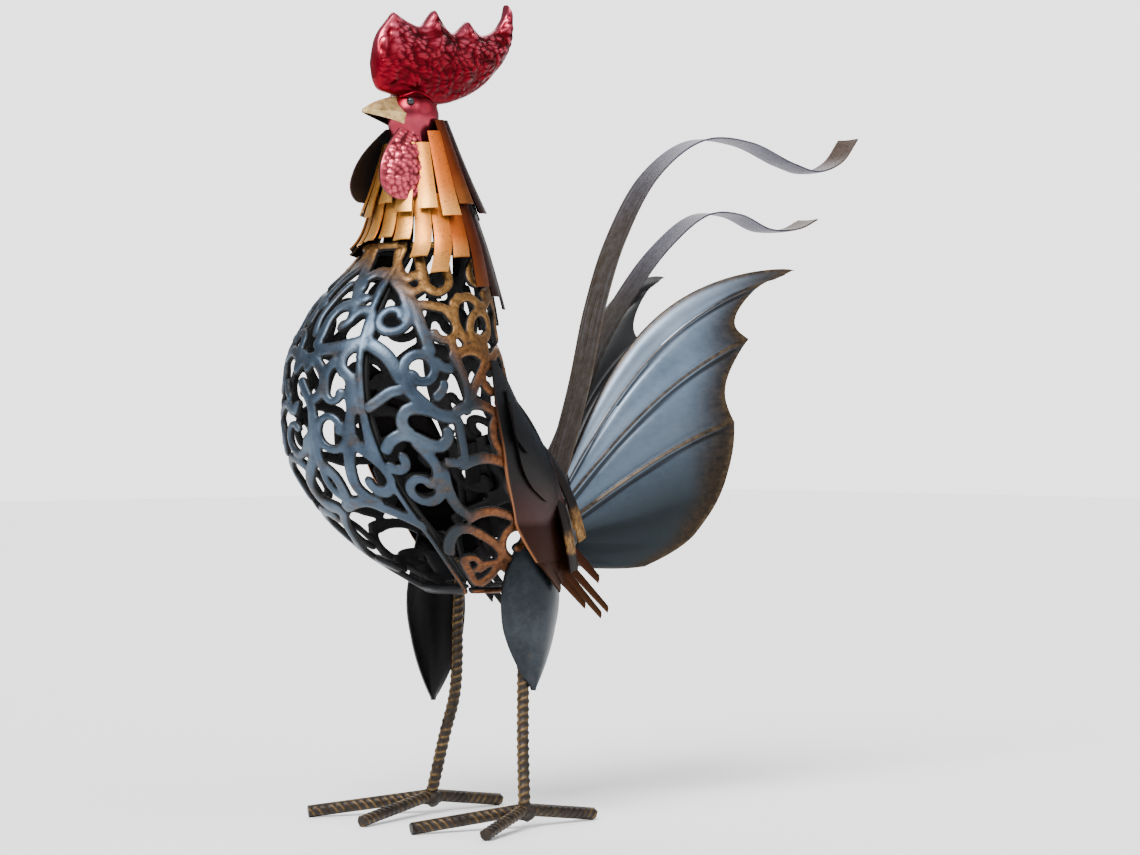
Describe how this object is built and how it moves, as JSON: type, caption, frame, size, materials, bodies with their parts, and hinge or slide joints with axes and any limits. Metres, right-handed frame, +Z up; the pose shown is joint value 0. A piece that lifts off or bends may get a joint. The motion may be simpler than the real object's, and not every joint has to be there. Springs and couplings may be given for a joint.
{
  "type": "rooster sculpture",
  "caption": "Standing garden rooster of painted iron: puffed comb, cut hackle strips, openwork scroll body, plate wings, fan tail with curled ribbons and ribbed rod legs.",
  "frame": {"origin": "on the ground under the middle of the whole bird's box", "axes": "+Z up; the bird faces -X, its tail is towards +X and its left side is -Y"},
  "size_m": [0.4202, 0.1418, 0.4585],
  "materials": {
    "comb_red": "hammered sheet, glossy crimson paint over bright metal, worn to pink on the high spots",
    "head_red": "smooth shell, glossy crimson paint with dark streaks",
    "beak_brass": "dull gold paint, dark inside",
    "eye_glass": "small dark glossy bead",
    "scroll_steel": "pressed iron strands, blue-grey lacquer, gold and copper brushed over the raised faces, black inside",
    "hackle_copper": "cut strips, pale gold in front through copper to dark plum behind, dry brushed",
    "wing_bronze": "graphite at the shoulder, burgundy below, copper-brown feather tips",
    "saddle_gold": "gold and copper brushed sheet",
    "tail_blue": "blue steel panels with bronze ribs, semi-gloss lacquer",
    "thigh_slate": "slate blue lacquer, darker inside",
    "ribbon_steel": "brushed brown and blue-grey, lavender along the top",
    "rod_iron": "ribbed rod, dark brown with gold on the ribs"
  },
  "bodies": {
    "root": {"comb": "comb_red", "head": "head_red", "beak": "beak_brass", "body_shell_left": "scroll_steel", "body_shell_right": "scroll_steel", "seam_rod": "scroll_steel", "hackle_collar_lower": "hackle_copper", "hackle_collar_upper": "hackle_copper", "eye_left": "eye_glass", "wattle_left": "comb_red", "wing_left": "wing_bronze", "wing_covert_left": "wing_bronze", "wing_tongue_left": "wing_bronze", "saddle_strips_left": "saddle_gold", "tail_fan_left": "tail_blue", "thigh_left": "thigh_slate", "toe_inner_left": "rod_iron", "toe_outer_left": "rod_iron", "toe_back_left": "rod_iron", "leg_left": "rod_iron", "eye_right": "eye_glass", "wattle_right": "comb_red", "wing_right": "wing_bronze", "wing_covert_right": "wing_bronze", "wing_tongue_right": "wing_bronze", "saddle_strips_right": "saddle_gold", "tail_fan_right": "tail_blue", "thigh_right": "thigh_slate", "toe_inner_right": "rod_iron", "toe_outer_right": "rod_iron", "toe_back_right": "rod_iron", "leg_right": "rod_iron", "tail_ribbon_long": "ribbon_steel", "tail_ribbon_short": "ribbon_steel"}
  },
  "joints": []
}
